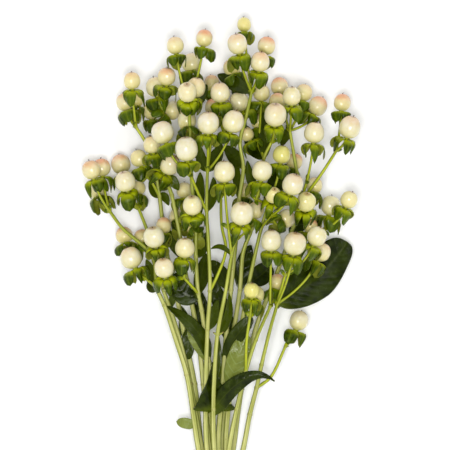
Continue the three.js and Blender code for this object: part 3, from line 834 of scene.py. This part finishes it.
def berry(centre, axis, width, ripeness, seed):
    """A smooth ovoid with three faint lobes, whose tip points along the axis."""
    shape = new_shape()
    bmesh.ops.create_uvsphere(shape, u_segments=28, v_segments=18, radius=1)
    rise = shape.verts.layers.float["rise"]
    turned = ALONG.rotation_difference(axis) @ UP.rotation_difference(ALONG)
    lobe_turn = vary(seed, 31) * 2 * math.pi
    lobe_depth = vary(seed, 32, 0.012, 0.045)
    fullness = vary(seed, 33, 0.0, 0.09)
    point = vary(seed, 34, 0.0, 0.05)
    squash = vary(seed, 35, 0.97, 1.03)
    half_length = width * BERRY_LENGTH_RATIO / 2
    for vert in shape.verts:
        x, y, height = vert.co
        vert[rise] = (height + 1) / 2
        lobes = lobe_depth * math.cos(CHAMBERS * (math.atan2(y, x) - lobe_turn))
        chambers = 1 + lobes * between(0.3, 1.3, (height + 1) / 2)
        fuller = 1 - fullness * height + 0.15 * height ** 2 * (1 - height ** 2)
        dimple = -0.09 * math.exp(-((1 - height) / 0.04))
        across = width / 2 * chambers * fuller
        vert.co = Vector((x * across * squash, y * across / squash,
                          (height + point * max(height, 0) ** 6 + dimple) * half_length))
    # A small berry is young, so its tone is greener.
    youth = clamp((12.4 - width) / 4) * 0.75 + 0.25 * vary(seed, 36)
    store(shape, shape.verts, ripeness=ripeness + vary(seed, 37, -0.12, 0.12), tone=youth)
    bmesh.ops.transform(shape, matrix=Matrix.Translation(centre) @ turned.to_matrix().to_4x4(),
                        verts=shape.verts)
    return shape


def style(tip, axis, seed, number):
    """A withered style on a berry's tip; there is one for each seed chamber."""
    spread = axis.cross(UP if abs(axis.z) < 0.9 else ALONG).normalized()
    spread.rotate(Quaternion(axis, number * 2 * math.pi / CHAMBERS + vary(seed, 40) * 6))
    length = vary(seed, 41 + number, 0.5, 1.2)
    bend = vary(seed, 44 + number, 0.25, 0.8)
    line = [tip - axis * 0.5, tip + axis * length * 0.45 + spread * 0.2,
            tip + axis * length * 0.8 + spread * length * bend]
    return bent_limb(line, [0.22, 0.14, 0.08], 5, [1.0] * 3)


print("a berry has", CHAMBERS, "seed chambers and as many styles")

# %% [markdown]
# ## Blades
#
# Sepals, bracts and leaves are all blades: a flat grid whose points are moved by a
# formula of how far along and across they lie, and which then gets its thickness. The
# points of the added side are marked, so one finish can be dark above and pale below.

# %% A grid shaped into a blade
def blade(columns, rows, thickness, shape_of, tone):
    """A closed blade; shape_of turns along and across into a place and a vein count."""
    sheet = new_shape()
    bmesh.ops.create_grid(sheet, x_segments=columns, y_segments=rows, size=0.5)
    layers = sheet.verts.layers.float
    for vert in sheet.verts:
        along = vert.co.y + 0.5
        across = vert.co.x * 2
        vert[layers["along"]] = along
        vert[layers["across"]] = across
        vert.co, vert[layers["veins"]] = shape_of(along, across)
    store(sheet, sheet.verts, tone=tone)
    sheet.normal_update()
    upper = set(sheet.verts)
    bmesh.ops.solidify(sheet, geom=sheet.faces[:], thickness=thickness)
    store(sheet, [vert for vert in sheet.verts if vert not in upper], underside=1.0)
    bmesh.ops.remove_doubles(sheet, verts=sheet.verts, dist=0.01)
    return sheet


print("blades can be made")

# %% [markdown]
# ## Sepals
#
# Five sepals hold the foot of each berry, some broad and rounded like spoons, some
# narrow and pointed. All of them arch out from under the berry and hang back round the
# stalk, with their edges bent towards it.

# %% One sepal
# Half width in mm, where it is widest, how blunt its end is, part of the full length.
SEPAL_FORMS = ((5.2, 0.56, 2.2, 1.00), (3.0, 0.46, 1.5, 1.08), (4.6, 0.54, 2.0, 0.96),
               (5.0, 0.58, 2.4, 1.04), (4.0, 0.50, 1.8, 0.90))


def sepal(base, axis, angle, size, reach, form, seed):
    """A sepal that arches out under a berry and hangs back round its stalk."""
    turned = ALONG.rotation_difference(axis)
    outward = turned @ Vector((math.sin(angle), 0, math.cos(angle)))
    half_width, widest, blunt, length_share = form
    reach *= length_share
    cup = vary(seed, 51, 0.06, 0.34)
    roll = vary(seed, 52, -0.6, 0.6)
    curl = vary(seed, 53, -1.6, 3.2)
    start = (outward * SEPAL_FOOT - axis * 0.5) * size
    handle = (outward * SEPAL_SPREAD + axis * 0.7) * size
    end = (outward * (SEPAL_SPREAD * 0.6 * reach + curl) - axis * SEPAL_DROP * reach) * size
    side = outward.cross(axis).normalized()

    def shape_of(along, across):
        t = 1 - (1 - along) ** 1.4
        place, tangent = handle_curve(start, handle, end, t)
        outside = side.cross(tangent).normalized()
        swelling = math.sin(math.pi / 2 * min(1, t / widest)) ** 0.8
        ending = (1 - max(0, (t - widest) / (1 - widest)) ** blunt) ** (1 / blunt)
        half = between(SEPAL_FOOT + 0.2, half_width, swelling) * size * ending
        across_way = side * math.cos(roll * t) + outside * math.sin(roll * t)
        sag = cup * half * across ** 2 + 0.12 * math.exp(-(across / 0.2) ** 2)
        ripple = 0.15 * math.sin(9 * t + seed) * across
        place = place + across_way * (half * across * (1 - 0.12 * across ** 2))
        return base + place + outside * (ripple - sag), across * 2.5 + 0.5

    return blade(4, 7, SEPAL_THICKNESS, shape_of, vary(seed, 54))


print(len(SEPAL_FORMS), "forms of sepal")

# %% [markdown]
# ## Leaves and bracts
#
# A leaf's midrib runs from the stem over a middle point to the tip. The blade is folded
# up a little along it and sinks along every side vein, and its margin waves. A bract is a
# very small, narrow leaf, and a pair of them stands at each fork.

# %% A leaf along its midrib
# Where it is widest, how blunt its foot and its end are, how much the right margin is
# drawn in near the end, how far the foot's lobes reach back in mm, and the turn that
# shows the underside.
LEAF_FORMS = {
    "plain": (0.45, 1.7, 1.6, 0.0, 0, 0),
    "blunt": (0.55, 1.8, 2.3, 0.0, 0, 0),
    "broad": (0.53, 1.9, 2.8, 0.3, 0, 0),
    "clasping": (0.07, 2.6, 0.85, 0.0, 1.5, 0),
    "waisted": (0.16, 2.2, 1.2, 0.25, 4, 0),
    "turned": (0.50, 2.1, 2.3, 0.0, 0, 180),
}


def leaf(seed, start, middle, tip, width, form="plain", turn=0, columns=0, rows=0, fold=0.12):
    """A veined leaf from the stem over its middle point to its tip."""
    handle = middle * 2 - start * 0.5 - tip * 0.5
    length = (middle - start).length + (tip - middle).length
    columns = columns or 8 + round(width / 3)
    rows = rows or 8 + round(length * 1.2)
    vein_count = max(5, length / VEIN_SPACING)
    wave_turn = vary(seed, 61) * 6
    widest, blunt_foot, blunt_end, drawn_in, lobe, flip = LEAF_FORMS[form]
    side_turn = math.radians(turn + flip)

    def shape_of(along, across):
        t = between(along, 0.5 - 0.5 * math.cos(math.pi * along), 0.7)
        place, tangent = handle_curve(start, handle, tip, t)
        side = Quaternion(tangent, side_turn) @ section_axes(tangent)[0]
        up = side.cross(tangent).normalized()
        blunt = blunt_foot if t < widest else blunt_end
        from_widest = (widest - t) / widest if t < widest else (t - widest) / (1 - widest)
        half = max(0.25 + 0.7 * (1 - t), width / 2 * (1 - min(1, from_widest) ** blunt) ** (1 / blunt))
        if across > 0:
            near_end = clamp((t - 0.45) / 0.4)
            half *= 1 - drawn_in * near_end ** 2 * (3 - 2 * near_end)
        aside = abs(across)
        veins = t * vein_count - aside * half * 0.75 / VEIN_SPACING * (1 + 0.3 * aside)
        swing = abs((veins % 1) - 0.5) * 2
        puff = vary(seed, math.floor(veins) + (20 if across > 0 else 50), -0.2, 1.9)
        quilt = -0.02 * width * puff * swing ** 4 * math.sin(math.pi * min(1, aside * 1.05))
        quilt -= 0.25 * math.exp(-(aside / 0.1) ** 2)
        lift = half * (fold * aside ** 1.3 - 0.07 * aside ** 4)
        ripple = 0.08 * half * math.sin(2 * math.pi * t * 2.2 + wave_turn + across) * aside ** 2
        place = place + side * (across * half * (1 - 0.03 * aside)) + up * (lift + ripple + quilt)
        return place - tangent * (lobe * aside ** 1.5 * (1 - t) ** 4), veins

    return blade(columns, rows, LEAF_THICKNESS, shape_of, clamp((11 - width) / 4))


def bract_pair(piece, place, tangent, seed):
    """Two small narrow leaves on opposite sides of a fork."""
    first_way = Quaternion(tangent, vary(seed, 71) * math.pi) @ section_axes(tangent)[0]
    for number, way in enumerate((first_way, -first_way)):
        length = vary(seed, 72 + number, 3.5, 7.0)
        middle = place + way * length * 0.45 + tangent * length * 0.42
        tip = place + way * length * 0.85 + tangent * length * 0.5 - UP * length * 0.12
        width = vary(seed, 74 + number, 1.8, 3.0)
        gather(piece, leaf(seed + number, place + way * 0.6, middle, tip, width,
                           columns=2, rows=8, fold=0.25))


print(len(LEAF_FORMS), "forms of leaf")

# %% [markdown]
# ## From one stem's plan to its pieces
#
# A stem becomes a piece for each kind of part: its stalks, its sepals with the bracts,
# its berries, and its leaves if it has any. They stand for its one solid in the frame.

# %% A berry with its stalk and sepals
def add_head(pieces, fork, head, age):
    """One berry on its own stalk, with its five sepals and three withered styles."""
    x, y, z, width, *rest = head
    ripeness = rest[0] if rest else IVORY
    centre = Vector((x, y, z))
    # It points mostly away from its fork, and partly along the bunch.
    axis = ((centre - fork).normalized() * 0.6 + ALONG * 0.4).normalized()
    length = width * BERRY_LENGTH_RATIO
    base = centre - axis * (length / 2)
    size = min(1, 0.4 + 0.6 * width / FULL_BERRY_WIDTH)
    seed = abs(x * 3 + y)
    top = base - axis * (0.9 * size)
    handle = top - axis * (0.45 * (top - fork).length)
    steps = max(5, math.ceil((top - fork).length / RING_GAP))
    line = [handle_curve(fork, handle, top, step / steps)[0] for step in range(steps + 1)]
    line += [base - axis * 0.35, base + axis * 0.4]
    radii = [STALK_RADIUS * between(1.12, 1.0, min(1, step / 3)) for step in range(steps)]
    radii += [STALK_RADIUS * 1.15, 1.5 * size, 1.7 * size]
    gather(pieces["stalks"], bent_limb(line, radii, STALK_SIDES, [age] * len(line)))
    gather(pieces["berries"], berry(centre, axis, width, ripeness, seed))
    for number in range(CHAMBERS):
        gather(pieces["berries"], style(centre + axis * (length * 0.49), axis, seed, number), finish=1)
    count = len(SEPAL_FORMS)
    first_form = int(vary(seed, 50) * count)
    for number in range(count):
        angle = number / count * 2 * math.pi + seed
        reach = 0.75 + 0.33 * vary(seed, number * 2)
        form = SEPAL_FORMS[(first_form + number) % count]
        gather(pieces["sepals"], sepal(base, axis, angle, size, reach, form, seed + number))


print("the widest berry is", max(head[3] for head in all_heads), "mm across")

# %% The main stalk and the side shoots of a stem
def stem_radius(share):
    """The main stalk tapers to its last fork from a little past the band."""
    return between(STEM_RADIUS, STEM_TIP_RADIUS, max(0, (share - 0.3) / 0.7) ** 0.9)


def stem_age(share):
    """How old a stalk's skin looks: pale at the cut end, olive near the last fork."""
    return 0.15 + 0.75 * share


def main_limb(route):
    """The main stalk of a stem, with a pale cut end."""
    line, shares = smooth_line(route, STEM_RING_GAP)
    limb = bent_limb(line, [stem_radius(share) for share in shares], STEM_SIDES,
                     [stem_age(share) for share in shares])
    end = min((face for face in limb.faces if len(face.verts) == STEM_SIDES),
              key=lambda face: face.calc_center_median().y)
    bmesh.ops.inset_individual(limb, faces=[end], thickness=0.3, depth=-0.12)
    end.material_index = 1
    return limb


def add_twig(pieces, start, places, heads, seed):
    """A side shoot with its berries, and a collar and two bracts at its fork."""
    points = [start] + [Vector(place) for place in places]
    if places:
        tangent = (points[-1] - start).normalized()
        line, shares = smooth_line(points, RING_GAP)
        radii = [TWIG_RADIUS * between(1.12, 0.95, share) for share in shares]
        gather(pieces["stalks"], bent_limb(line, radii, TWIG_SIDES, [0.95] * len(line)))
        gather(pieces["stalks"], collar(points[-1], tangent, TWIG_RADIUS * 0.95, 1.0))
        bract_pair(pieces["sepals"], points[-1], tangent, seed)
    for head in heads:
        add_head(pieces, points[-1], head, 1.0)


print("a stem's radius at half its length:", round(stem_radius(0.5), 2), "mm")

# %% A whole stem
FINISHES = {"stalks": (stalk_skin, cut_wood), "sepals": (sepal_blade,),
            "berries": (berry_skin, style_finish), "leaves": (leaf_blade,)}


def add_stem(name, plan):
    """All the pieces of one stem; the lowest row lies on the table at its cut end."""
    pieces = {kind: bmesh.new() for kind in FINISHES}
    place, row = plan["slot"]
    inside = Vector((place * SLOT_PITCH, BAND_Y, LOWEST_ROW_Z + row * ROW_RISE))
    end = Vector((place * SLOT_PITCH, CUT_END_Y + CUT_SCATTER * vary(place + 3, row),
                  STEM_RADIUS + row * ROW_RISE))
    upper = [Vector(point) for point in plan["path"]]
    above = inside.lerp(end, -BAND_LENGTH / (BAND_Y - end.y))
    route = [end, inside, above] + upper
    gather(pieces["stalks"], main_limb(route))
    seed = abs(upper[-1].x * 2 + upper[-1].y)
    busy = {item[0] for item in plan["leaves"] + plan["twigs"]}
    for number, point in enumerate(upper[:-1]):
        tangent = (upper[number + 1] - route[number + 2]).normalized()
        share = (number + 3) / (len(route) - 1)
        radius, age = stem_radius(share), stem_age(share)
        if number % 2 == 1 or number in busy:
            gather(pieces["stalks"], collar(point, tangent, radius, age))
        if number in plan.get("stubs", ()):
            outward = Quaternion(tangent, vary(seed, number) - 0.5) @ section_axes(tangent)[0]
            for way in (outward, -outward):
                length = vary(seed + way.x, number + 5, 1.2, 3.2)
                gather(pieces["stalks"], stub(point, tangent, way, radius, age, length))
    tangent = (upper[-1] - upper[-2]).normalized()
    gather(pieces["stalks"], collar(upper[-1], tangent, STEM_TIP_RADIUS, 0.9))
    bract_pair(pieces["sepals"], upper[-1], tangent, seed)
    for head in plan["heads"]:
        add_head(pieces, upper[-1], head, 0.95)
    for number, (point, places, heads) in enumerate(plan["twigs"]):
        add_twig(pieces, upper[point], places, heads, seed + 10 + number)
    for number, (point, middle, tip, *shape) in enumerate(plan["leaves"]):
        span = min(math.floor(point), len(upper) - 2)
        start = curve_point(route, span + 3, point - span)
        gather(pieces["leaves"], leaf(seed + 20 + number, start, Vector(middle), Vector(tip), *shape))
    return sum(finish_piece(f"{name}_{kind}", shape, FINISHES[kind], f"stem_{name}")
               for kind, shape in pieces.items() if shape.verts)


total = sum(add_stem(name, plan) for name, plan in STEMS.items())
print("all stems together:", total, "triangles")

# %% [markdown]
# ## The band
#
# Growers hold a bunch with a natural rubber band wound round it three times. Each turn
# follows the outline of the bundle, lies beside the next, and is a little askew.

# %% Three turns of rubber
BAND_DISTANCE = FRAME_STEM_RADIUS + CLEARANCE + BAND_THICKNESS / 2
CORNER_STEPS = 6
bottom, top = LOWEST_ROW_Z, LOWEST_ROW_Z + 2 * ROW_RISE
lean = math.atan2(top - bottom, SLOT_PITCH)
corners = ((-2, bottom), (1, bottom), (2, top), (-2, top))
turns = (math.pi, 1.5 * math.pi, 1.5 * math.pi + lean, 2.5 * math.pi, 3 * math.pi)
outline = []
for (place, z), start, end in zip(corners, turns, turns[1:]):
    for step in range(CORNER_STEPS + 1):
        angle = between(start, end, step / CORNER_STEPS)
        outline.append(Vector((place * SLOT_PITCH + BAND_DISTANCE * math.cos(angle), BAND_Y,
                               z + BAND_DISTANCE * math.sin(angle))))
outline_middle = sum(outline, Vector()) / len(outline)


def band_turn(offset, skew):
    """One turn of a flat band with rounded edges, offset along the stems."""
    turn, ringed = upright_tube(10, len(outline), False)
    for vert, ring in ringed:
        ring %= len(outline)
        place = outline[ring]
        ahead = (outline[(ring + 1) % len(outline)] - outline[ring - 1]).normalized()
        outward = ahead.cross(ALONG).normalized()
        flat = math.copysign(abs(vert.co.x) ** 0.6, vert.co.x) * (BAND_LENGTH / 6 - 0.1)
        thick = math.copysign(abs(vert.co.y) ** 0.6, vert.co.y) * BAND_THICKNESS / 2
        drift = offset + skew * (place.x - outline_middle.x) / (2 * SLOT_PITCH)
        vert.co = place + ALONG * (flat + drift) + outward * thick
    bmesh.ops.remove_doubles(turn, verts=turn.verts, dist=0.001)
    bmesh.ops.recalc_face_normals(turn, faces=turn.faces)
    return turn


band_piece = bmesh.new()
for offset, skew in ((-3.0, 0.15), (0.0, -0.2), (3.0, 0.1)):
    gather(band_piece, band_turn(offset, skew))
finish_piece("band_turns", band_piece, (rubber,), "band")
